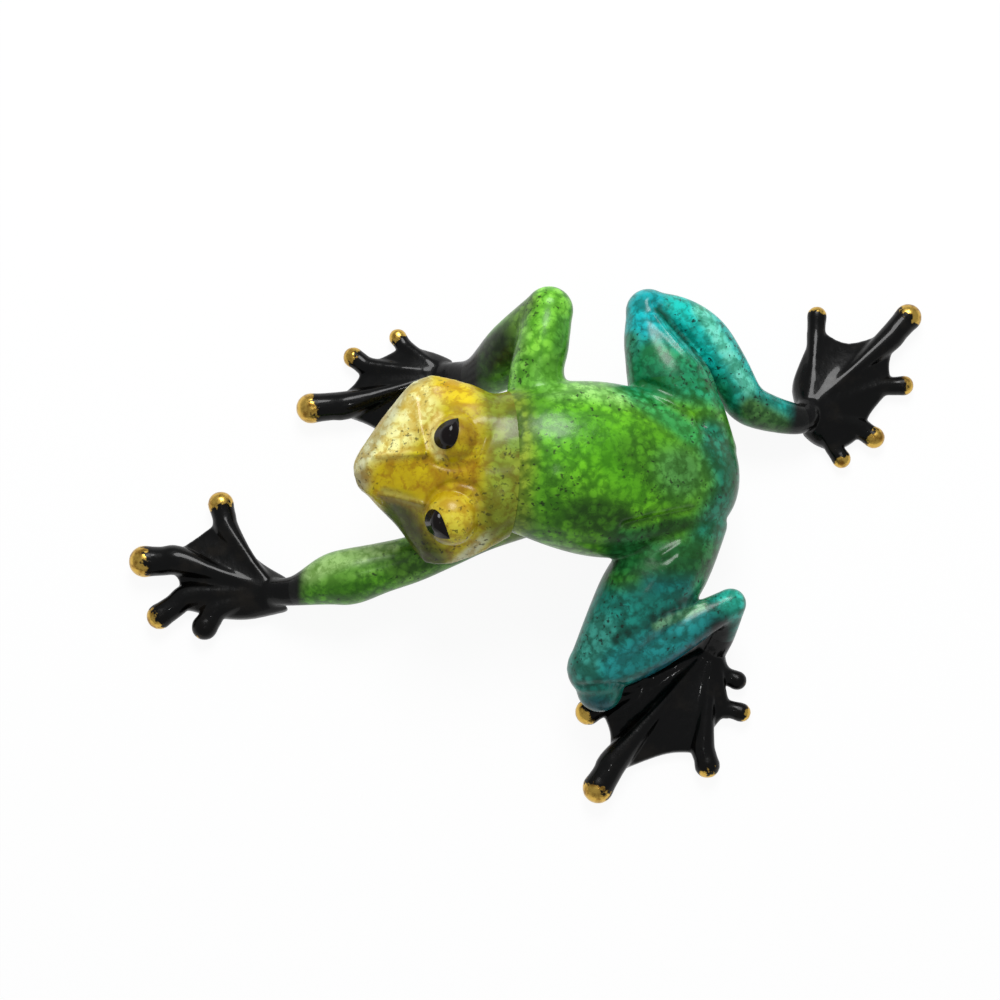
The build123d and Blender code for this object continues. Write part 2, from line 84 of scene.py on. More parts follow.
def column(bm, count, around):
    """A plain upright column of count rings, one unit apart, closed at both ends."""
    ring = bmesh.ops.create_circle(bm, cap_ends=True, segments=around, radius=1.0)["verts"]
    verts = list(ring)
    face = ring[0].link_faces[0]
    for _ in range(count - 1):
        grown = bmesh.ops.extrude_face_region(bm, geom=[face])["geom"]
        new = [g for g in grown if isinstance(g, bmesh.types.BMVert)]
        face = next(g for g in grown if isinstance(g, bmesh.types.BMFace))
        bmesh.ops.translate(bm, verts=new, vec=UP)
        verts += new
    return verts


def heading(rows, k):
    """The direction of a run of rows at row k."""
    back, ahead = rows[max(k - 1, 0)], rows[min(k + 1, len(rows) - 1)]
    return (Vector(ahead[:3]) - Vector(back[:3])).normalized()


def tube(bm, stations, steps=5, around=24):
    """A closed tube through (x, y, z, half width, half height) stations."""
    rows = spline(stations, steps)
    for v in column(bm, len(rows), around):
        row = rows[round(v.co.z)]
        along = heading(rows, round(v.co.z))
        side = UP.cross(along).normalized()
        top = along.cross(side)
        v.co = Vector(row[:3]) + side * (row[3] * v.co.x) + top * (row[4] * v.co.y)


def limb(bm, *rows):
    """A round limb through (x, y, z, radius) rows."""
    tube(bm, [(x, y, z, r, r) for x, y, z, r in rows])


def head_ring(u, row):
    """Point of the head's section a share u of the way from crown to throat: out, up."""
    crown, ridge_out, ridge_up, bulge, lip_out, lip_up, jaw_out, jaw_up, throat = row[3:12]
    edge_out = lip_out * LIP_SHARE + bulge
    edge_up = lip_up + (ridge_up - lip_up) * LIP_RISE
    # share of the way, out, up
    corners = [
        (0.0, 0.0, crown),
        (0.2, ridge_out, ridge_up),
        (0.3, (ridge_out + edge_out + bulge) / 2, (ridge_up + edge_up + bulge) / 2),
        (0.4, edge_out, edge_up),
        (0.5, lip_out, lip_up),
        (0.56, lip_out - LIP_THICKNESS / 2, lip_up - LIP_THICKNESS),
        (0.75, jaw_out, jaw_up),
        (1.0, 0.0, throat),
    ]
    for (u0, x0, y0), (u1, x1, y1) in zip(corners, corners[1:]):
        if u <= u1:
            t = (u - u0) / (u1 - u0)
            return x0 + (x1 - x0) * t, y0 + (y1 - y0) * t
    return 0.0, throat


def skull(bm, stations, steps=6, around=60):
    """The head as a closed tube of many-sided sections that lean to one side."""
    rows = spline(stations, steps)
    for v in column(bm, len(rows), around):
        row = rows[round(v.co.z)]
        along = heading(rows, round(v.co.z))
        turn = Matrix.Rotation(HEAD_LEAN * row[12], 3, along)
        side = along.cross(UP).normalized()
        top = turn @ side.cross(along)
        side = turn @ side
        out, rise = head_ring(math.acos(max(-1, min(1, v.co.y))) / math.pi, row)
        shift = CROWN_SHIFT * row[12] * max(rise, 0)
        v.co = Vector(row[:3]) + side * (math.copysign(out, v.co.x) - shift) + top * rise


def ball(bm, x, y, z, radius):
    """A ball of clay."""
    bmesh.ops.create_icosphere(
        bm, subdivisions=3, radius=radius, matrix=Matrix.Translation((x, y, z))
    )


def skin_of(bm, name, grain):
    """Melt overlapping shapes into one skin and return it as a new working mesh."""
    bmesh.ops.recalc_face_normals(bm, faces=bm.faces)
    mesh = bpy.data.meshes.new(name)
    bm.to_mesh(mesh)
    bm.free()
    clay = bpy.data.objects.new(name, mesh)
    bpy.context.scene.collection.objects.link(clay)
    melt = clay.modifiers.new("melt", "REMESH")
    melt.mode = "VOXEL"
    melt.voxel_size = grain
    melt.adaptivity = 0.0
    melted = bpy.data.meshes.new_from_object(
        clay.evaluated_get(bpy.context.evaluated_depsgraph_get())
    )
    bpy.data.objects.remove(clay)
    bpy.data.meshes.remove(mesh)
    skin = bmesh.new()
    skin.from_mesh(melted)
    bpy.data.meshes.remove(melted)
    return skin


def soften(bm, times, where=None):
    """Rub the skin smooth, everywhere or where the test on a point holds."""
    verts = [v for v in bm.verts if where is None or where(v.co)]
    for _ in range(times):
        bmesh.ops.smooth_vert(
            bm,
            verts=verts,
            factor=RUB_STRENGTH,
            use_axis_x=True,
            use_axis_y=True,
            use_axis_z=True,
        )


def swell(bm, amount):
    """Move the whole skin outward."""
    bm.normal_update()
    for v in bm.verts:
        v.co += v.normal * amount


def on_top(bm, path):
    """Drop a plan path onto the top of the skin."""
    shell = BVHTree.FromBMesh(bm)
    points = []
    for x, y in path:
        hit = shell.ray_cast(Vector((x, y, OVERHEAD)), -UP)[0]
        points.append(hit if hit else Vector((x, y, 0)))
    return points


def carve(bm, strokes):
    """Raise or sink soft lines. Each stroke is a plan path, its half width and its height."""
    for path, width, height in strokes:
        bm.verts.ensure_lookup_table()
        bm.normal_update()
        tree = KDTree(len(bm.verts))
        for index, v in enumerate(bm.verts):
            tree.insert(v.co, index)
        tree.balance()
        reach = width * STROKE_REACH
        near = {}
        line = spline(path, STROKE_STEPS) if len(path) > 1 else path
        for point in on_top(bm, line):
            for _, index, distance in tree.find_range(point, reach):
                near[index] = min(distance, near.get(index, reach))
        for index, distance in near.items():
            v = bm.verts[index]
            v.co += v.normal * (height * math.exp(-((distance / width) ** 2)))


def close_rims(bm, edges):
    """Close open rims with flat faces that keep a crisp edge."""
    for e in edges:
        e.smooth = False
    bmesh.ops.edgeloop_fill(bm, edges=edges)


def part_at(bm, origin, normal, reach):
    """Cut the skin through on a plane, within reach of its middle, and close both cut ends."""
    origin = Vector(origin)
    near = [f for f in bm.faces if (f.calc_center_median() - origin).length < reach]
    geom = set(near)
    for f in near:
        geom.update(f.verts)
        geom.update(f.edges)
    made = bmesh.ops.bisect_plane(
        bm,
        geom=list(geom),
        dist=CUT_TOLERANCE,
        plane_co=origin,
        plane_no=Vector(normal).normalized(),
    )["geom_cut"]
    line = [g for g in made if isinstance(g, bmesh.types.BMEdge)]
    ends = bmesh.ops.split_edges(bm, edges=line)["edges"]
    close_rims(bm, [e for e in set(ends) | set(line) if e.is_valid and e.is_boundary])


def ground_flat(bm):
    """Take off what is below the surface the frog stands on and close the soles."""
    geom = bm.verts[:] + bm.edges[:] + bm.faces[:]
    bmesh.ops.bisect_plane(
        bm, geom=geom, dist=CUT_TOLERANCE, plane_co=(0, 0, 0), plane_no=UP, clear_inner=True
    )
    close_rims(bm, [e for e in bm.edges if e.is_boundary])


def islands(bm):
    """The separate closed parts of a cut skin, each a list of faces."""
    left = set(bm.faces)
    found = []
    for seed in bm.faces:
        if seed not in left:
            continue
        left.remove(seed)
        group, growing = [seed], [seed]
        while growing:
            for e in growing.pop().edges:
                for f in e.link_faces:
                    if f in left:
                        left.remove(f)
                        group.append(f)
                        growing.append(f)
        found.append(group)
    return found


def island_at(groups, point):
    """The part whose skin comes nearest to a point."""
    point = Vector(point)
    return min(groups, key=lambda g: min((f.verts[0].co - point).length_squared for f in g))


def piece_from(groups, name, node, material):
    """Make one piece of the object from parts of a skin."""
    own = bmesh.new()
    made = {}
    for f in [f for g in groups for f in g]:
        for v in f.verts:
            if v not in made:
                made[v] = own.verts.new(v.co * MM)
        own.faces.new([made[v] for v in f.verts]).smooth = True
        for e in f.edges:
            if not e.smooth:
                own.edges.get((made[e.verts[0]], made[e.verts[1]])).smooth = False
    return finish_piece(own, name, node, material)


def finish_piece(bm, name, node, material):
    """Turn a working mesh in metres into a piece that stands for a CAD node."""
    bmesh.ops.recalc_face_normals(bm, faces=bm.faces)
    mesh = bpy.data.meshes.new(name)
    bm.to_mesh(mesh)
    bm.free()
    mesh.materials.append(material)
    piece = bpy.data.objects.new(name, mesh)
    bpy.context.scene.collection.objects.link(piece)
    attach(piece, "root")
    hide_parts(node)
    return piece


# The frog's sizes, in millimetres

# Joint faces: middle, direction away from the torso, reach of the cut
NECK = ((-4.7, 13.4, 26.5), (-8.1, -0.2, 2.0), 19.0)
JOINTS = [
    ((1.2, 31.5, 24.8), (0, 1, 0), 9.0),  # right shoulder
    ((-9.0, 2.4, 13.0), (-15.6, -5.6, -5.0), 8.0),  # left shoulder
    ((29.2, 31.2, 18.2), (0, 1, 0), 13.0),  # right hip
    ((27.4, -6.0, 15.0), (0, -1, 0), 14.0),  # left hip
    ((-12.2, 35.9, 7.9), (-6.3, 0.2, -4.6), 7.5),  # right wrist
    ((-49.0, -9.6, 6.0), (-5.6, 0.0, -2.6), 7.0),  # left wrist
    ((57.4, 27.4, 5.6), (4.1, 1.3, -2.3), 6.5),  # right ankle
    ((39.6, -18.4, 7.4), (-2.5, -5.1, -6.8), 5.6),  # left ankle
]

# Paws: palm, toes (tip x, y, radius, knuckle x, y), points on the web's edge before, between and
# after the toes, and the two ends of the web at the wrist or ankle
PAWS = {
    "right_hand": (
        (-18.1, 37.3, 3.3),
        [
            (-28.3, 46.5, 1.8, -26.7, 44.3),
            (-37.8, 42.0, 2.1, -34.6, 39.9),
            (-46.6, 30.5, 3.1, -38.4, 31.3),
            (-30.8, 21.9, 2.4, -25.0, 27.0),
        ],
        [(-20.4, 42.8), (-31.5, 41.8), (-37.2, 36.2), (-34.4, 27.6), (-21.8, 29.6)],
        [(-16.4, 41.0), (-16.5, 33.0)],
    ),
    "left_hand": (
        (-54.2, -9.4, 3.3),
        [
            (-65.5, 9.6, 2.6, -63.9, 4.0),
            (-81.2, -2.8, 3.2, -73.8, -2.7),
            (-77.8, -14.4, 2.6, -71.5, -9.9),
            (-68.3, -16.7, 2.6, -66.0, -13.1),
        ],
        [(-58.3, -1.8), (-70.7, 2.1), (-73.7, -6.9), (-71.2, -12.8), (-59.6, -14.6)],
        [(-51.0, -6.5), (-51.0, -12.8)],
    ),
    "right_foot": (
        (59.6, 29.9, 3.5),
        [
            (62.1, 51.2, 2.0, 61.7, 45.7),
            (81.6, 50.7, 2.8, 76.7, 45.2),
            (80.3, 35.8, 2.0, 75.5, 35.5),
            (73.5, 24.3, 2.2, 70.6, 26.2),
            (66.5, 19.7, 1.9, 64.7, 22.5),
        ],
        [(57.0, 37.2), (68.8, 44.9), (77.2, 40.8), (72.9, 29.9), (68.4, 23.2), (61.3, 23.2)],
        [(57.2, 32.0), (58.7, 25.4)],
    ),
    "left_foot": (
        (38.0, -21.3, 3.2),
        [
            (12.1, -34.6, 2.6, 15.8, -32.6),
            (14.0, -50.4, 3.1, 17.8, -44.3),
            (36.7, -45.7, 2.5, 35.9, -41.6),
            (44.0, -34.6, 1.9, 40.0, -33.4),
            (43.3, -27.9, 1.9, 40.5, -26.7),
        ],
        [(25.1, -25.3), (17.0, -39.4), (28.1, -43.0), (38.0, -37.9), (39.4, -30.2), (40.9, -23.6)],
        [(36.0, -19.8), (39.8, -20.6)],
    ),
}
# How far the black is rubbed off the toe tips: 1 is bare from the seat on, 0 only at the end, and
# below 0 the black goes on towards the end
BARE = {
    "right_hand": (0.9, 0.7, 0.8, 0.5),
    "left_hand": (0.8, 0.6, 0.2, -0.6),
    "right_foot": (0.3, 0.6, 0.4, 0.9, 0.6),
    "left_foot": (0.3, 0.4, -0.1, 0.0, -0.6),
}
SOLE_TRIM = 0.35  # flat ground off under the toes
PALM_RADIUS = 2.7
PALM_BACK = 3.5  # a point this far over the palm's middle is near the back of the paw
RAY_ROOT = 1.7  # radius of the ray that runs through the paw to a toe, at the palm
RAY_MIDDLE = 1.25  # and half way to the knuckle
RAY_LIFT = 0.4  # how far the ray is raised at the palm
RAY_ARCH = 1.0  # half way to the knuckle
KNUCKLE_LIFT = 0.2  # and at the knuckle
TOE_WAIST = 0.9  # radius of a toe between knuckle and tip, as a share of the tip's
TOE_END = 0.95  # and inside the tip
TIP_SEAT = 0.55  # seat of a toe tip, in radii behind the middle of its ball
TIP_CUT_ROOM = 0.4  # reach of a toe tip's cut past the radius of the tip
TIP_ROOM = 1.6  # points of the web's edge beside a toe tip are this far from it or farther
TIP_HEIGHT = 2.0  # about the height of a toe tip's middle
WEB_STEPS = 12  # steps along the edge of the web between two toes
WEB_ROWS = 8  # rows of the web from the palm to its edge
WEB_START = 0.06  # share of the way from the palm to the edge where the web starts
WEB_EDGE = 2.2  # height of the web at its edge
WEB_ROOT = 1.9  # height of the web at the palm, over the palm's middle
WEB_BACK = 1.5  # the web starts this far behind the seat of a toe tip
WEB_GAP = 0.9  # and keeps this far behind the plane of the seat
WEB_BOTTOM = -0.8

# Spine from just past the neck joint to the rump: x, y, z, half width, half height
SPINE = [
    (-5.4, 13.4, 26.7, 14.0, 9.0),
    (3.4, 13.6, 24.5, 16.6, 12.2),
    (15.2, 12.9, 21.0, 18.0, 13.2),
    (28.8, 12.1, 17.0, 16.0, 11.6),
    (37.2, 11.8, 14.2, 11.6, 9.0),
    (41.0, 11.5, 12.8, 6.6, 5.6),
    (42.6, 11.4, 12.3, 1.5, 1.5),
]
# Neck inside the head's skin, from behind the joint forward, with the same columns
NECK_TUBE = [
    (12.0, 13.4, 23.0, 14.0, 10.0),
    (3.4, 13.6, 24.5, 16.6, 12.2),
    (-4.7, 13.4, 26.5, 14.2, 9.2),
    (-12.0, 12.4, 27.6, 13.0, 8.0),
]

# Head from the nape to the snout: middle, height of the crown, ridge out and up, bulge of the
# cheek, lip out and up, jaw out and up, height of the throat, share of the head's lean
SKULL = [
    (-4.7, 13.4, 26.5, 9.2, 7.1, 8.0, 0.8, 14.2, -0.8, 9.5, -6.8, -9.2, 0.0),
    (-10.4, 12.4, 27.8, 7.6, 8.8, 6.8, 1.1, 16.9, -0.6, 11.0, -6.4, -8.4, 0.4),
    (-18.4, 11.4, 28.0, 5.8, 6.6, 5.5, 0.3, 19.1, -2.4, 13.0, -6.8, -7.8, 0.9),
    (-23.5, 11.4, 27.4, 4.9, 4.8, 4.8, 0.0, 17.8, -2.5, 10.5, -6.2, -7.2, 1.0),
    (-28.2, 11.3, 26.4, 4.1, 4.1, 4.0, 0.0, 12.3, -2.3, 7.5, -5.2, -6.0, 1.0),
    (-33.0, 10.9, 25.0, 2.6, 2.8, 2.5, 0.0, 6.3, -1.6, 4.0, -3.6, -4.2, 1.0),
    (-35.4, 10.4, 24.2, 0.9, 1.2, 0.8, 0.0, 2.6, -0.5, 1.4, -1.5, -1.7, 1.0),
]
HEAD_LEAN = math.radians(-14)  # the crown leans to the left
CROWN_SHIFT = 0.3  # how far the crown leans further, for each millimetre of its height
LIP_SHARE = 0.87  # upper edge of the lip: share of the lip's half width
LIP_RISE = 0.3  # and share of the way up from the lip to the ridge
LIP_THICKNESS = 1.3

RIGHT_EYE = (-15.2, 16.4, 32.2)
LEFT_EYE = (-15.9, 0.9, 30.4)
EYE_RADIUS = 5.4
LID_WIDTH = 1.2  # a rim around the eye domes that isn't rubbed down with the nape
# Pupils: eye, direction from its middle, direction from the round end to the point
PUPILS = {
    "right_pupil": (RIGHT_EYE, (-0.27, 0.12, 0.955), (0.52, 0.85, 0.0)),
    "left_pupil": (LEFT_EYE, (-0.57, -0.46, 0.68), (0.62, -0.79, 0.0)),
}
PUPIL_HALF_LENGTH = 3.9
PUPIL_HALF_WIDTH = 3.3
PUPIL_DEPTH = 0.9
PUPIL_PROUD = 0.36  # over the dome's own radius
PUPIL_SWELL = 0.25  # how much higher the middle is than the rim
PUPIL_TAPER = 1.1  # how fast the teardrop narrows to its point
PUPIL_SHEET = 5.0  # the outline is drawn on a flat sheet this far from the eye's middle
PUPIL_RINGS = 5
PUPIL_RING_WIDTH = 0.16  # on the unit circle that the teardrop is shaped from
ROUND_SEGMENTS = 48

PLUG = (16.0, 12.9, 7.3)  # outer face of the plug under the belly
PLUG_RADIUS = 3.7
PLUG_HEIGHT = 1.8
PLUG_ROUNDING = 0.3

# Lines worked into the body's clay: plan path, half width, height
BODY_LINES = [
    ([(25.4, 44.7), (29.2, 39.5), (33.7, 34.0)], 0.7, 0.7),
    ([(26.1, 47.7), (33.3, 39.2), (40.6, 27.2)], 1.0, -1.1),
    ([(21.9, 28.9), (28.2, 25.8), (32.1, 23.3), (33.7, 20.5)], 0.9, 0.6),
    ([(23.4, 30.3), (29.5, 27.3), (33.6, 24.6), (35.4, 21.6)], 0.9, -0.8),
    ([(32.5, 3.2), (25.3, 1.2), (19.2, -0.5)], 1.1, -1.0),
    ([(30.4, -3.2), (26.3, -5.8)], 0.6, 0.45),
    ([(29.9, -5.8), (27.3, -8.1)], 0.6, 0.45),
    ([(35.7, -14.1), (32.5, -14.9), (28.0, -16.1)], 0.6, 0.45),
    ([(10.1, -31.2), (21.2, -30.6), (24.1, -28.9)], 0.8, -0.7),
]
HEAD_LINES = [
    ([(-31.6, 13.6), (-26.5, 13.5), (-21.0, 13.3)], 0.55, 0.7),
    ([(-21.0, 13.3), (-22.4, 19.0), (-23.4, 25.6)], 0.5, 0.3),
    ([(-30.4, 6.2), (-26.0, 5.0), (-21.3, 3.5)], 0.45, 0.45),
    ([(-34.9, 11.7)], 0.5, -0.6),
    ([(-30.8, 5.2)], 0.5, -0.6),
    ([(-9.0, 16.6), (-11.0, 11.6), (-15.2, 10.2), (-19.4, 11.4)], 0.7, -0.4),
    ([(-21.2, -0.6), (-20.4, 4.4), (-16.4, 7.3), (-11.4, 6.4), (-9.2, 2.0)], 0.7, -0.5),
]


# Modelling the frog


def tip_seat(x, y, r, kx, ky):
    """Middle of the flat seat of a toe tip, and the direction of the toe."""
    along = Vector((x - kx, y - ky, 0)).normalized()
    return Vector((x, y, r - SOLE_TRIM)) - along * (TIP_SEAT * r), along


def clear_of_tips(x, y, toes):
    """Whether a point of the web's edge stays behind the seats of the toe tips or beside them."""
    for toe in toes:
        seat, along = tip_seat(*toe)
        gap = Vector((x, y, seat.z)) - seat
        ahead = gap.dot(along)
        if ahead > -WEB_GAP and (gap - along * ahead).length < toe[2] + TIP_ROOM:
            return False
    return True


def fan(bm, palm, edge):
    """A web between two toes or beside one: a closed sheet, falling from the palm to its edge."""
    px, py, pz = palm
    last = len(edge) - 1
    verts = bmesh.ops.create_grid(bm, x_segments=last, y_segments=WEB_ROWS, size=1.0)["verts"]
    faces = list({f for v in verts for f in v.link_faces})
    grown = bmesh.ops.extrude_face_region(bm, geom=faces, use_keep_orig=True)["geom"]
    under = [g for g in grown if isinstance(g, bmesh.types.BMVert)]
    for v in verts + under:
        ex, ey = edge[round((v.co.x + 1) / 2 * last)]
        out = WEB_START + (1 - WEB_START) * (v.co.y + 1) / 2
        top = WEB_EDGE + (pz + WEB_ROOT - WEB_EDGE) * (1 - out * out)
        v.co = (px + (ex - px) * out, py + (ey - py) * out, top)
    for v in under:
        v.co.z = WEB_BOTTOM


def model_paw(bm, palm, toes, edge, wrist):
    """Toes, knuckles and web of one paw, before melting."""
    px, py, pz = palm
    corners = [wrist[0]]
    for x, y, r, kx, ky in toes:
        rise = r - SOLE_TRIM
        limb(
            bm,
            (px, py, pz + RAY_LIFT, RAY_ROOT),
            ((px + kx) / 2, (py + ky) / 2, (pz + rise) / 2 + RAY_ARCH, RAY_MIDDLE),
            (kx, ky, rise + KNUCKLE_LIFT, r * TOE_WAIST),
            ((x + kx) / 2, (y + ky) / 2, rise, r * TOE_WAIST),
            (x, y, rise, r * TOE_END),
        )
        ball(bm, x, y, rise, r)
        seat, along = tip_seat(x, y, r, kx, ky)
        corners.append((seat - along * WEB_BACK)[:2])
    corners.append(wrist[1])
    for start, through, end in zip(corners, edge, corners[1:]):
        span = spline([start, through, end], WEB_STEPS // 2)
        fan(bm, palm, [point for point in span if clear_of_tips(*point, toes)])
    ball(bm, px, py, pz, PALM_RADIUS)


def model_body(bm):
    """Torso, limbs and paws, before melting."""
    tube(bm, SPINE, around=36)
    # right arm, folded with the elbow out
    limb(
        bm,
        (2.6, 20, 22.5, 8.2),
        (1.2, 31.5, 24.8, 5.6),
        (2.5, 38.1, 26, 5.2),
        (3.8, 45.2, 26, 4.7),
    )
    ball(bm, 3.8, 45.4, 26, 4.9)
    limb(
        bm,
        (3.6, 45.4, 26, 4.6),
        (-3.2, 40.4, 17.5, 5.5),
        (-7.2, 37.2, 12, 5.4),
        (-12.2, 35.9, 7.9, 3.8),
        (-18.1, 37.3, 3.3, 2.9),
    )
    # left arm, reaching forward
    limb(
        bm,
        (4, 8, 17.5, 6.6),
        (-9, 2.4, 13, 4.4),
        (-16.8, -0.7, 11, 4.4),
        (-24.3, -3.5, 9.6, 4.7),
        (-31, -5.3, 9, 5.1),
        (-37, -6.9, 8.4, 5.7),
        (-41.7, -7.6, 7.8, 5.2),
        (-49, -9.6, 6, 3.0),
        (-54.2, -9.4, 3.3, 2.7),
    )
    # right leg: thigh, shank and tarsus
    limb(
        bm,
        (35.2, 15.5, 14.6, 8.2),
        (29.2, 31.2, 18.2, 8.7),
        (25.4, 40.4, 19.4, 5.9),
        (24.6, 47.2, 19.6, 4.3),
    )
    ball(bm, 24.6, 47.1, 19.6, 4.6)
    limb(
        bm,
        (25, 46.9, 19.4, 4.3),
        (31.4, 45.9, 17.8, 4.4),
        (36.8, 42.6, 15.5, 4.7),
        (41.3, 36.8, 12.4, 4.5),
        (45.2, 30.6, 9.4, 4.3),
        (50, 28.4, 7.8, 3.8),
        (57.4, 27.4, 5.6, 3.0),
        (59.6, 29.9, 3.5, 2.7),
    )
    # left leg: thigh, shank, heel and tarsus
    limb(
        bm,
        (32.6, 6, 14.4, 8.8),
        (27.4, -6, 15, 9.3),
        (22, -13.5, 15, 8.8),
        (13.6, -26.6, 13, 5.8),
    )
    ball(bm, 13.4, -27, 13, 5.9)
    ball(bm, 14.2, -30.8, 10.4, 4.7)
    limb(
        bm,
        (13.4, -27, 13, 5.5),
        (22.9, -23.6, 13.2, 4.9),
        (30, -19.8, 13.6, 4.3),
        (36, -16.4, 13.8, 3.5),
        (41.2, -13.6, 13.4, 3),
    )
    ball(bm, 41.2, -13.6, 13.4, 3.1)
    limb(bm, (41.2, -13.6, 13.4, 3), (39.6, -18.4, 7.4, 3), (38, -21.3, 3.2, 3.1))
    for paw in PAWS.values():
        model_paw(bm, *paw)


def model_head(bm):
    """Neck, skull and eye domes, before melting."""
    tube(bm, NECK_TUBE, around=36)
    skull(bm, SKULL)
    for eye in (RIGHT_EYE, LEFT_EYE):
        ball(bm, *eye, EYE_RADIUS)


def clear_of_eyes(point):
    """Whether a point lies away from both eye domes."""
    clear = EYE_RADIUS + LID_WIDTH
    return all((point - Vector(eye)).length > clear for eye in (RIGHT_EYE, LEFT_EYE))


def model_pupil(eye, gaze, point_way):
    """A teardrop inlay that swells a little out of the eye dome, closed, in metres."""
    bm = bmesh.new()
    ring = bmesh.ops.create_circle(bm, cap_ends=True, segments=ROUND_SEGMENTS, radius=1.0)["verts"]
    middle = ring[0].link_faces[0]
    for _ in range(PUPIL_RINGS):
        bmesh.ops.inset_region(
            bm, faces=[middle], thickness=PUPIL_RING_WIDTH, use_even_offset=True
        )
    bmesh.ops.poke(bm, faces=[middle])
    grown = bmesh.ops.extrude_face_region(bm, geom=bm.faces[:], use_keep_orig=True)["geom"]
    low = {g for g in grown if isinstance(g, bmesh.types.BMVert)}
    out = Vector(gaze).normalized()
    along = Vector(point_way)
    along = (along - out * along.dot(out)).normalized()
    across = out.cross(along)
    for v in bm.verts:
        share = min(1.0, math.hypot(v.co.x, v.co.y))
        t = math.atan2(v.co.y, v.co.x)
        a = PUPIL_HALF_LENGTH * share * math.cos(t)
        b = PUPIL_HALF_WIDTH * share * math.sin(t) * abs(math.sin(t / 2)) ** PUPIL_TAPER
        way = (out * PUPIL_SHEET + along * a + across * b).normalized()
        height = EYE_RADIUS - PUPIL_DEPTH
        if v not in low:
            height = EYE_RADIUS + PUPIL_PROUD + PUPIL_SWELL * (1 - share**2)
        v.co = (Vector(eye) + way * height) * MM
    for f in bm.faces:
        f.smooth = True
    return bm


def model_plug():
    """The round plug under the belly, closed, in metres."""
    bm = bmesh.new()
    x, y, z = PLUG
    bmesh.ops.create_cone(
        bm,
        cap_ends=True,
        segments=ROUND_SEGMENTS,
        radius1=PLUG_RADIUS * MM,
        radius2=PLUG_RADIUS * MM,
        depth=PLUG_HEIGHT * MM,
        matrix=Matrix.Translation(Vector((x, y, z + PLUG_HEIGHT / 2)) * MM),
    )
    rim = [e for e in bm.edges if len({round(v.co.z, 7) for v in e.verts}) == 1]
    bmesh.ops.bevel(
        bm,
        geom=rim,
        offset=PLUG_ROUNDING * MM,
        affect="EDGES",
        segments=3,
        profile=0.5,
        material=-1,
    )
    return bm


# Patina and painted light and shade: soft coats sprayed from above, one over the other

COAT_STEPS = 10  # points to each span of a coat's path
COAT_SPREAD = 1.4  # a coat fades out at this many radii

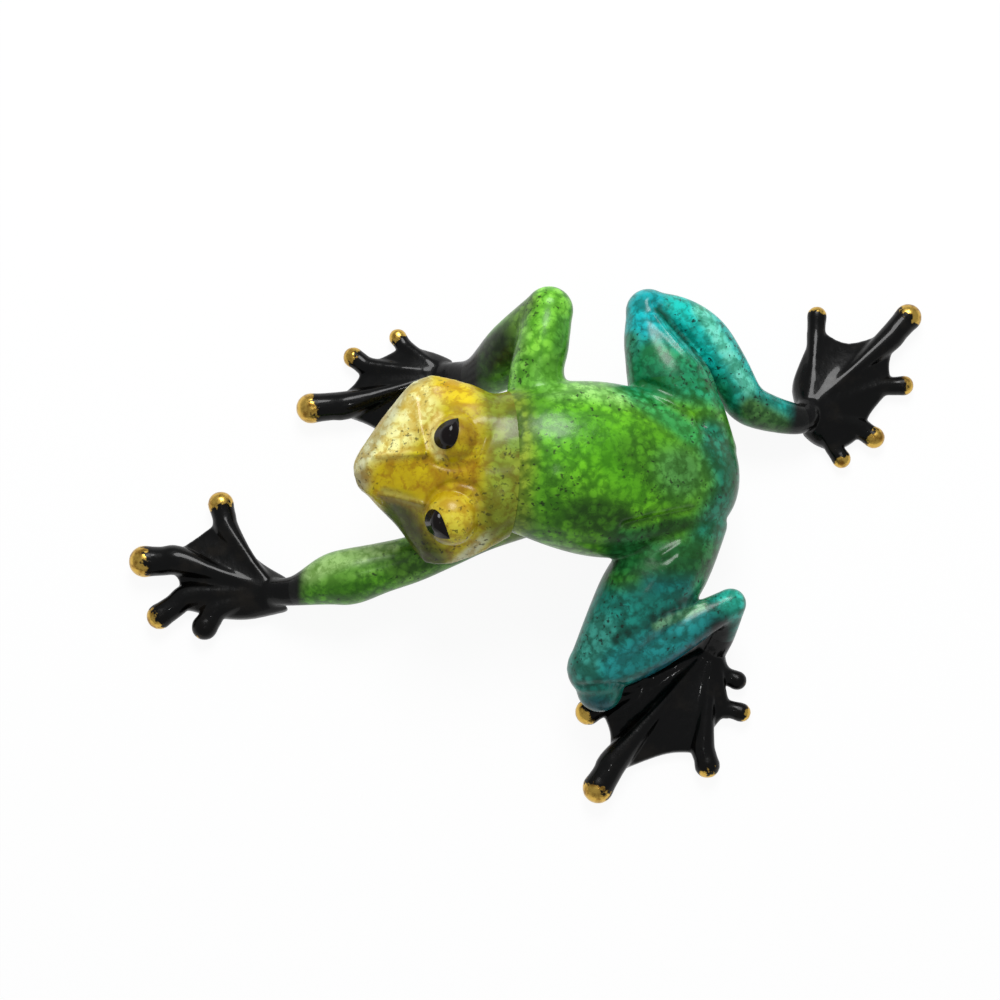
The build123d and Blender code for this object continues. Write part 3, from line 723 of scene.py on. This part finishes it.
# Each coat is a plan path, its radius and its colour
COATS = {
    "head": [
        # painted highlight: the right cheek's facet sprayed near white where the light glares on it
        ([(-29.5, 16.0), (-23.5, 25.4)], 5.2, (250, 248, 160)),
        ([(-17.5, 27.5), (-10.4, 24.4)], 2.9, (226, 200, 20)),
        (
            [(-36.1, 9.2), (-34.1, 14.0), (-29.6, 21.2), (-25.6, 28.5), (-22.1, 30.6)],
            1.9,
            (205, 208, 160),
        ),
        ([(-34.4, 9.4)], 2.5, (175, 168, 120)),
        ([(-29.0, 10.0), (-20.0, 8.8)], 3.9, (196, 172, 4)),
        ([(-13.3, 8.8)], 4.1, (178, 148, 8)),
        # painted shade: the left side of the head dark olive, turned away from the light
        ([(-27.4, 1.6), (-23.3, -4.5), (-20.3, -7.2)], 4.6, (72, 84, 12)),
        ([(-29.6, 6.4), (-21.4, 2.9)], 1.2, (160, 150, 60)),
        ([(-9.9, 2.2)], 3.3, (190, 168, 30)),
        ([(-15.5, 1.0)], 4.5, (222, 205, 60)),
        ([(-13.0, 16.6)], 3.1, (160, 132, 14)),
        ([(-18.8, 21.2), (-20.2, 16.4), (-18.4, 13.1)], 1.2, (235, 222, 130)),
        ([(-7.9, 19.1)], 3.0, (205, 178, 14)),
        ([(-6.7, -1.1), (-12.3, -5.1), (-18.7, -8.8)], 1.0, (205, 205, 160)),
    ],
    "torso": [
        # painted sheen: a paler band along the upper flank, where the light falls
        ([(5.9, 27.9), (18.0, 27.1)], 3.7, (132, 200, 92)),
        ([(9.9, 17.1), (23.9, 10.9)], 8.2, (92, 178, 20)),
        ([(21.9, 14.0), (26.9, 8.4)], 4.9, (66, 130, 18)),
        # painted shade: the lower flank darker, turned away from the light
        ([(9.7, 1.2), (17.8, 0.5)], 3.1, (48, 98, 12)),
        ([(30.4, 10.9)], 5.8, (74, 136, 60)),
        ([(37.2, 19.1), (41.0, 8.8), (36.2, -1.5)], 4.5, (24, 112, 84)),
        ([(3.7, -4.5), (13.7, -6.8)], 1.6, (110, 155, 85)),
        ([(-1.3, 0.2)], 3.3, (78, 128, 28)),
        ([(22.1, 26.4), (32.5, 19.1)], 2.7, (52, 152, 72)),
        ([(18.7, -2.5), (31.8, 1.2)], 1.6, (36, 88, 22)),
    ],
    "right_arm": [
        ([(3.0, 47.4), (0.9, 31.4)], 2.9, (116, 200, 52)),
        ([(-1.6, 39.9), (-3.8, 32.1)], 1.9, (122, 190, 70)),
        # painted shade on the upper arm's right side
        ([(6.6, 42.0), (5.1, 31.4)], 1.6, (82, 155, 48)),
        ([(-1.2, 46.7), (-5.7, 39.9)], 2.9, (88, 130, 42)),
        # painted shade: the forearm dark where it runs under the head
        ([(-7.6, 39.5), (-5.4, 33.0)], 4.4, (36, 54, 20)),
    ],
    "left_arm": [
        # painted light and shade: the upper side paler, the lower side darker
        ([(-45.7, -6.6), (-37.5, -3.6), (-29.6, -1.7)], 2.5, (160, 202, 120)),
        ([(-45.6, -12.0), (-37.4, -11.0), (-29.5, -8.9)], 2.3, (76, 144, 22)),
        # painted shade: the arm darker where it runs under the head
        ([(-27.1, -5.7), (-12.5, -1.9), (-6.3, 1.3)], 3.1, (72, 122, 28)),
    ],
    "right_leg": [
        ([(23.9, 48.4), (21.5, 41.0)], 4.5, (8, 184, 192)),
        ([(24.8, 35.3), (33.4, 31.5)], 4.4, (34, 146, 84)),
        ([(20.3, 39.7), (20.2, 34.2)], 2.5, (52, 140, 112)),
        ([(31.2, 46.2), (42.4, 33.3)], 4.1, (20, 205, 192)),
        # painted highlight: a pale streak along the shank's crest
        ([(35.4, 46.9), (45.5, 32.2)], 1.9, (110, 225, 195)),
        ([(26.4, 46.2), (33.2, 38.7), (40.2, 26.9)], 1.2, (6, 98, 80)),
        ([(46.4, 27.5), (53.2, 24.1)], 3.5, (70, 118, 58)),
        ([(38.2, 29.0), (42.3, 25.8)], 2.3, (14, 95, 46)),
    ],
    "left_leg": [
        ([(18.3, -8.2), (24.6, -7.0)], 4.6, (46, 108, 30)),
        ([(25.4, -10.4), (32.7, -8.2)], 3.3, (12, 118, 112)),
        ([(36.2, -8.1), (35.1, -11.4)], 2.3, (60, 155, 100)),
        ([(14.1, -20.7), (10.4, -26.9)], 3.7, (48, 135, 120)),
        ([(17.1, -27.5), (34.5, -18.6)], 3.5, (28, 140, 138)),
        # painted shade: a dark lower edge along the shank
        ([(22.1, -30.6), (36.9, -20.9)], 1.6, (12, 96, 108)),
        ([(41.2, -13.6)], 3.0, (50, 195, 172)),
        # painted highlight: a pale streak along the shank's upper side
        ([(25.3, -19.3), (35.2, -14.7)], 1.0, (118, 185, 135)),
        ([(11.9, -35.3), (15.0, -35.3)], 2.5, (12, 84, 90)),
        ([(17.1, -22.4), (32.6, -13.9)], 1.0, (10, 78, 66)),
    ],
}
FIRST_COAT = {
    "head": (198, 184, 8),
    "torso": (80, 148, 20),
    "right_arm": (104, 182, 50),
    "left_arm": (108, 168, 60),
    "right_leg": (14, 164, 154),
    "left_leg": (20, 122, 108),
}
# Coats at the joints, put on last: the pieces that take them, path, radius and colour. The four at
# the end take the limbs into the black of the paws.
JOINT_COATS = [
    (("head", "torso"), [(-6.0, 26.0), (-4.4, 13.4), (-6.0, 1.0)], 5.2, (132, 150, 40)),
    (("head", "torso"), [(-3.2, 21.0), (-3.0, 15.0)], 2.2, (110, 140, 40)),
    (("torso", "right_arm"), [(-5.0, 31.2), (7.0, 31.2)], 4.0, (112, 188, 62)),
    (("torso", "left_arm"), [(-9.0, 2.4)], 6.0, (70, 118, 30)),
    (("torso", "right_leg"), [(20.5, 31.2), (29.2, 31.0), (38.4, 30.0)], 5.0, (30, 140, 92)),
    (("torso", "left_leg"), [(18.5, -5.4), (27.4, -6.0), (36.6, -5.4)], 4.4, (34, 104, 50)),
    (("right_arm",), [(-13.6, 40.4), (-13.6, 31.6)], 4.4, (11, 13, 9)),
    (("left_arm",), [(-50.0, -6.0), (-50.0, -13.2)], 3.4, (11, 12, 10)),
    (("right_leg",), [(58.3, 31.2), (57.5, 23.6)], 3.6, (11, 12, 10)),
    (("left_leg",), [(39.0, -19.6)], 3.0, (11, 12, 10)),
]


def linear(shade):
    """Light values of a colour written as 0 to 255 screen values."""
    return [(c / 255 / 12.92) if c <= 10 else ((c / 255 + 0.055) / 1.055) ** 2.4 for c in shade]


def airbrush(mesh, name):
    """Spray the coats, painted light and shade among them, over a piece and keep them as the
    piece's own attribute.
    """
    shared = [coat[1:] for coat in JOINT_COATS if name in coat[0]]
    count = len(mesh.vertices)
    place = np.empty(count * 3)
    mesh.vertices.foreach_get("co", place)
    plan = place.reshape(-1, 3)[:, :2] / MM
    shades = np.tile(np.array(linear(FIRST_COAT[name])), (count, 1))
    for path, radius, shade in COATS[name] + shared:
        dots = np.array(spline(path, COAT_STEPS) if len(path) > 1 else path)
        gap = np.min(np.linalg.norm(plan[:, None] - dots[None], axis=2), axis=1)
        cover = np.clip(COAT_SPREAD - gap / radius, 0, 1)
        cover = cover * cover * (3 - 2 * cover)
        shades += (np.array(linear(shade)) - shades) * cover[:, None]
    paint = mesh.color_attributes.new("paint", "FLOAT_COLOR", "POINT")
    paint.data.foreach_set("color", np.hstack([shades, np.ones((count, 1))]).ravel())


def rub_bare(mesh, toes, shares):
    """Keep how far the black is rubbed off each toe tip as the piece's own attribute."""
    worn = []
    for v in mesh.vertices:
        place = v.co / MM
        far = [(place - Vector((*toe[:2], TIP_HEIGHT))).length for toe in toes]
        near = far.index(min(far))
        seat, along = tip_seat(*toes[near])
        worn.append((place - seat).dot(along) / toes[near][2] + shares[near])
    bare = mesh.attributes.new("bare", "FLOAT", "POINT")
    bare.data.foreach_set("value", worn)


class Brew:
    """A material's nodes, put together step by step."""

    def __init__(self, name):
        self.material = bpy.data.materials.new(name)
        self.material.use_nodes = True
        self.tree = self.material.node_tree
        self.tree.nodes.clear()
        self.place = self.node("ShaderNodeTexCoord").outputs["Object"]

    def node(self, kind, **settings):
        """A new node with these settings."""
        made = self.tree.nodes.new(kind)
        for key, value in settings.items():
            setattr(made, key, value)
        return made

    def put(self, socket, value):
        """Give an input a value, or link it to another node's output."""
        if isinstance(value, bpy.types.NodeSocket):
            self.tree.links.new(value, socket)
        else:
            socket.default_value = value

    def noise(self, size, detail=3.0, roughness=0.55, bend=0.0, place=None):
        """Cloudy values with features of about this size in millimetres."""
        made = self.node("ShaderNodeTexNoise")
        self.put(made.inputs["Vector"], place or self.place)
        self.put(made.inputs["Scale"], 1 / (size * MM))
        self.put(made.inputs["Detail"], detail)
        self.put(made.inputs["Roughness"], roughness)
        self.put(made.inputs["Distortion"], bend)
        return made.outputs["Fac"]

    def cells(self, size, place):
        """Distance from the middles of cells of about this size in millimetres."""
        made = self.node("ShaderNodeTexVoronoi", feature="F1")
        self.put(made.inputs["Vector"], place)
        self.put(made.inputs["Scale"], 1 / (size * MM))
        return made.outputs["Distance"]

    def warp(self, size, amount):
        """Coordinates pushed about by a cloudy pattern, both in millimetres."""
        push = self.node("ShaderNodeTexNoise")
        self.put(push.inputs["Vector"], self.place)
        self.put(push.inputs["Scale"], 1 / (size * MM))
        shift = self.node("ShaderNodeVectorMath", operation="MULTIPLY_ADD")
        self.put(shift.inputs[0], push.outputs["Color"])
        self.put(shift.inputs[1], (amount * MM,) * 3)
        self.put(shift.inputs[2], self.place)
        return shift.outputs[0]

    def span(self, value, low, high, to_low=0.0, to_high=1.0):
        """Values between low and high, in either order, turned smoothly into another range."""
        made = self.node("ShaderNodeMapRange", interpolation_type="SMOOTHSTEP")
        self.put(made.inputs["Value"], value)
        self.put(made.inputs["From Min"], low)
        self.put(made.inputs["From Max"], high)
        self.put(made.inputs["To Min"], to_low)
        self.put(made.inputs["To Max"], to_high)
        return made.outputs["Result"]

    def times(self, a, b, operation="MULTIPLY"):
        """Two values multiplied, or joined by another operation."""
        made = self.node("ShaderNodeMath", operation=operation)
        self.put(made.inputs[0], a)
        self.put(made.inputs[1], b)
        return made.outputs[0]

    def blend(self, share, a, b, blend_type="MIX"):
        """Two colours blended by a share."""
        made = self.node("ShaderNodeMix", data_type="RGBA", blend_type=blend_type)
        self.put(made.inputs[0], share)
        self.put(made.inputs[6], a)
        self.put(made.inputs[7], b)
        return made.outputs[2]

    def bump(self, height, strength, depth):
        """A relief from height values, its depth in millimetres."""
        made = self.node("ShaderNodeBump")
        self.put(made.inputs["Height"], height)
        self.put(made.inputs["Strength"], strength)
        self.put(made.inputs["Distance"], depth * MM)
        return made.outputs["Normal"]

    def surface(self, **values):
        """Close the material with a shader that takes these values."""
        shader = self.node("ShaderNodeBsdfPrincipled")
        for key, value in values.items():
            self.put(shader.inputs[key.replace("_", " ")], value)
        output = self.node("ShaderNodeOutputMaterial")
        self.tree.links.new(shader.outputs[0], output.inputs["Surface"])
        return self.material


def rgba(*shade):
    """A colour socket's value from 0 to 255 screen values."""
    return (*linear(shade), 1.0)


def patina(name, cell_size, cell_share, outline_share, speck_share, dark_tint):
    """Sprayed colour, with its painted light and shade, under lacquer, broken up by packed cells,
    clouds and dark specks.
    """
    brew = Brew(name)
    sprayed = brew.node("ShaderNodeAttribute", attribute_name="paint").outputs["Color"]
    clouds = brew.noise(9.0, detail=4.0, roughness=0.6, place=brew.warp(5.0, 2.2))
    light = brew.blend(0.9, sprayed, sprayed, "SCREEN")
    dark = brew.blend(1.0, sprayed, dark_tint, "MULTIPLY")
    colour = brew.blend(brew.span(clouds, 0.64, 0.3, 0.0, 0.6), sprayed, dark)
    cell = brew.cells(cell_size, brew.warp(1.6, 1.1))
    worn = brew.span(brew.noise(11.0, detail=2.0), 0.36, 0.6)
    packed = brew.times(brew.span(cell, 0.6, 0.3), worn)
    colour = brew.blend(brew.times(packed, cell_share), colour, light)
    lines = brew.times(brew.span(cell, 0.52, 0.74), outline_share)
    colour = brew.blend(lines, colour, dark)
    mottle = brew.span(brew.noise(1.5, detail=4.0, roughness=0.6, bend=0.4), 0.5, 0.38)
    colour = brew.blend(brew.times(mottle, outline_share), colour, dark)
    veins = brew.span(brew.noise(3.4, detail=5.0, roughness=0.65, bend=0.8), 0.47, 0.37)
    colour = brew.blend(brew.times(veins, outline_share), colour, dark)
    specks = brew.span(brew.noise(0.9, detail=2.0, roughness=0.5), 0.6, 0.68)
    crowd = brew.span(brew.noise(10.0, detail=2.0), 0.42, 0.6)
    colour = brew.blend(
        brew.times(brew.times(specks, crowd), speck_share), colour, rgba(14, 20, 8)
    )
    return brew.surface(
        Base_Color=colour,
        Roughness=brew.span(clouds, 0.3, 0.7, 0.3, 0.45),
        Specular_IOR_Level=0.14,
        Coat_Weight=0.32,
        Coat_Roughness=0.2,
        Normal=brew.bump(brew.noise(1.8), strength=0.5, depth=0.3),
    )


def black_patina():
    """Gloss black with a little brown showing through."""
    brew = Brew("black_patina")
    through = brew.span(brew.noise(7.0, detail=4.0, roughness=0.6), 0.52, 0.72)
    colour = brew.blend(through, rgba(3, 3, 3), rgba(20, 17, 13))
    return brew.surface(
        Base_Color=colour,
        Roughness=brew.span(brew.noise(3.0), 0.3, 0.7, 0.25, 0.4),
        Specular_IOR_Level=0.08,
        Coat_Weight=0.24,
        Coat_Roughness=0.07,
        Normal=brew.bump(brew.noise(1.6), strength=0.4, depth=0.25),
    )


def rubbed(brew, shade, dull):
    """Colour, roughness and relief of rubbed bronze with faint tarnish."""
    tarnish = brew.span(brew.noise(2.2, detail=4.0, roughness=0.6), 0.45, 0.7)
    return {
        "Base_Color": brew.blend(tarnish, shade, dull),
        "Roughness": brew.span(brew.noise(0.8), 0.3, 0.7, 0.2, 0.36),
        "Normal": brew.bump(brew.noise(0.7), strength=0.3, depth=0.12),
    }


def joining_bronze():
    """Bare bronze all over."""
    brew = Brew("joining_bronze")
    return brew.surface(Metallic=1.0, **rubbed(brew, rgba(190, 150, 84), rgba(110, 82, 44)))


def bare_bronze():
    """Bronze rubbed bare at the toe's end, out of the black behind it."""
    brew = Brew("bare_bronze")
    worn = brew.node("ShaderNodeAttribute", attribute_name="bare").outputs["Fac"]
    ragged = brew.times(worn, brew.span(brew.noise(1.4), 0.2, 0.8, -0.45, 0.45), "ADD")
    bare = brew.span(ragged, 0.95, 1.2)
    metal = rubbed(brew, rgba(214, 176, 84), rgba(140, 100, 38))
    metal["Base_Color"] = brew.blend(bare, rgba(9, 8, 7), metal["Base_Color"])
    return brew.surface(Metallic=bare, Specular_IOR_Level=0.15, **metal)


def pupil_black():
    """Polished black inlay."""
    brew = Brew("pupil_black")
    colour = brew.blend(brew.noise(1.5, detail=2.0), rgba(8, 6, 6), rgba(20, 12, 12))
    return brew.surface(
        Base_Color=colour, Roughness=0.15, Specular_IOR_Level=0.1, Coat_Weight=0.2
    )


# The patinas show the sprayed coats, so they carry the painted light and shade too.
YELLOW = patina(
    "yellow_patina",
    cell_size=2.6,
    cell_share=0.35,
    outline_share=0.6,
    speck_share=0.7,
    dark_tint=rgba(205, 172, 90),
)
GREEN = patina(
    "green_patina",
    cell_size=1.9,
    cell_share=0.75,
    outline_share=0.5,
    speck_share=0.8,
    dark_tint=rgba(140, 165, 90),
)
TEAL = patina(
    "teal_patina",
    cell_size=1.9,
    cell_share=0.5,
    outline_share=0.55,
    speck_share=0.85,
    dark_tint=rgba(110, 155, 140),
)
BLACK = black_patina()
BRONZE = bare_bronze()
JOINING = joining_bronze()
PUPIL = pupil_black()


# Making the pieces

BODY_RUBS = 4
LIMB_RUBS = 8  # more for what lies over the paws
OVER_PAWS = 7
LAST_RUBS = 1  # after carving
HEAD_RUBS = 3
# More for the head's back: how often, and from which x on
BACK_RUBS = [(14, -15), (24, -9)]

clay = bmesh.new()
model_body(clay)
body = skin_of(clay, "body_clay", BODY_GRAIN)
soften(body, BODY_RUBS)
soften(body, LIMB_RUBS, lambda point: point.z > OVER_PAWS)
swell(body, REGAIN)
carve(body, BODY_LINES)
soften(body, LAST_RUBS)
for joint in JOINTS:
    part_at(body, *joint)
for palm, toes, edge, wrist in PAWS.values():
    for toe in toes:
        part_at(body, *tip_seat(*toe), toe[2] + TIP_CUT_ROOM)
ground_flat(body)

clay = bmesh.new()
model_head(clay)
head = skin_of(clay, "head_clay", HEAD_GRAIN)
soften(head, HEAD_RUBS)
for times, back in BACK_RUBS:
    soften(head, times, lambda point: point.x > back and clear_of_eyes(point))
swell(head, REGAIN)
carve(head, HEAD_LINES)
part_at(head, *NECK)

body_parts = islands(body)
head_parts = islands(head)
SNOUT = (-35.0, 10.0, 24.2)
# A point at the skin of each piece of the body that is sprayed, its slot and its material
SPRAYED = {
    "torso": ((15.0, 12.9, 34.5), "green_patina", GREEN),
    "right_arm": ((2.5, 38.1, 31.5), "green_patina", GREEN),
    "left_arm": ((-31.0, -5.3, 14.2), "green_patina", GREEN),
    "right_leg": ((36.8, 42.6, 20.4), "teal_patina", TEAL),
    "left_leg": ((22.9, -23.6, 18.2), "teal_patina", TEAL),
}
for name, (point, slot, material) in SPRAYED.items():
    piece = piece_from([island_at(body_parts, point)], f"{name}_skin", name, material)
    airbrush(piece.data, name)
piece = piece_from([island_at(head_parts, SNOUT)], "head_skin", "head", YELLOW)
airbrush(piece.data, "head")
for name, (palm, toes, edge, wrist) in PAWS.items():
    x, y, z = palm
    piece_from(
        [island_at(body_parts, (x, y, z + PALM_BACK))], f"{name}_skin", name, BLACK
    )
    tips = [island_at(body_parts, (x, y, 2 * r - SOLE_TRIM)) for x, y, r, kx, ky in toes]
    piece = piece_from(tips, f"{name}_toe_tips_skin", f"{name}_toe_tips", BRONZE)
    rub_bare(piece.data, toes, BARE[name])
for name, (eye, gaze, way) in PUPILS.items():
    finish_piece(model_pupil(eye, gaze, way), f"{name}_inlay", name, PUPIL)
finish_piece(model_plug(), "belly_plug_disc", "belly_plug", JOINING)
body.free()
head.free()


# Floor, light and camera, in metres

FLOOR_SIZE = 4.0
FLOOR_SHADES = ((0.93, 0.93, 0.93, 1), (0.96, 0.96, 0.96, 1))
FLOOR_GRAIN = 40.0  # size of the clouds between the two, in millimetres
FLOOR_GLOW = 0.93  # share of plain white that the camera and mirror rays see on the floor
WHITE = (1, 1, 1, 1)
TARGET = Vector((-6.3, 8.5, 12.0)) * MM
CAMERA_DISTANCE = 0.52
CAMERA_RISE = math.radians(78)
LENS = 89.9  # in millimetres
KEY_RISE = math.radians(52)
KEY_TURN = math.radians(4)
KEY_DISTANCE = 0.62
KEY_SIZE = 0.3
KEY_POWER = 3.0
SPARK_WAY = (0.05, -0.12, 1.0)
SPARK_DISTANCE = 0.75
SPARK_SIZE = 0.026
SPARK_POWER = 0.12
SKY_SHADE = (0.96, 0.98, 1.0, 1)
SKY_STRENGTH = 0.45

plain = bmesh.new()
bmesh.ops.create_grid(plain, x_segments=1, y_segments=1, size=FLOOR_SIZE / 2)
mesh = bpy.data.meshes.new("floor")
plain.to_mesh(mesh)
plain.free()
floor = bpy.data.objects.new("floor", mesh)
bpy.context.scene.collection.objects.link(floor)
paper = Brew("white_floor")
rays = paper.node("ShaderNodeLightPath").outputs
seen = paper.times(rays["Is Camera Ray"], rays["Is Glossy Ray"], "MAXIMUM")
matt = paper.node("ShaderNodeBsdfDiffuse")
grain = paper.noise(FLOOR_GRAIN, detail=2.0)
paper.put(matt.inputs["Color"], paper.blend(grain, *FLOOR_SHADES))
glow = paper.node("ShaderNodeEmission")
paper.put(glow.inputs["Color"], WHITE)
paper.put(glow.inputs["Strength"], 1.0)
both = paper.node("ShaderNodeMixShader")
paper.put(both.inputs[0], paper.times(seen, FLOOR_GLOW))
paper.put(both.inputs[1], matt.outputs[0])
paper.put(both.inputs[2], glow.outputs[0])
paper.put(paper.node("ShaderNodeOutputMaterial").inputs["Surface"], both.outputs[0])
mesh.materials.append(paper.material)

scene = bpy.context.scene
sky = bpy.data.worlds.new("sky")
scene.world = sky
sky.use_nodes = True
background = sky.node_tree.nodes["Background"]
background.inputs["Color"].default_value = SKY_SHADE
background.inputs["Strength"].default_value = SKY_STRENGTH


def lamp(name, way, distance, size, power):
    """A round lamp that looks at the frog from a direction."""
    light = bpy.data.lights.new(name, "AREA")
    light.shape = "DISK"
    light.size = size
    light.energy = power
    made = bpy.data.objects.new(name, light)
    made.location = TARGET + Vector(way).normalized() * distance
    made.rotation_euler = (TARGET - made.location).to_track_quat("-Z", "Y").to_euler()
    scene.collection.objects.link(made)


key_way = (
    math.cos(KEY_RISE) * math.sin(KEY_TURN),
    math.cos(KEY_RISE) * math.cos(KEY_TURN),
    math.sin(KEY_RISE),
)
lamp("key", key_way, KEY_DISTANCE, KEY_SIZE, KEY_POWER)
lamp("spark", SPARK_WAY, SPARK_DISTANCE, SPARK_SIZE, SPARK_POWER)

camera = bpy.data.cameras.new("camera")
camera.lens = LENS
camera.sensor_width = 36.0
camera.clip_start = 0.01
camera.clip_end = 20.0
viewer = bpy.data.objects.new("camera", camera)
camera_way = Vector((0, -math.cos(CAMERA_RISE), math.sin(CAMERA_RISE)))
viewer.location = TARGET + CAMERA_DISTANCE * camera_way
viewer.rotation_euler = (TARGET - viewer.location).to_track_quat("-Z", "Y").to_euler()
scene.collection.objects.link(viewer)
scene.camera = viewer
scene.view_settings.view_transform = "Standard"
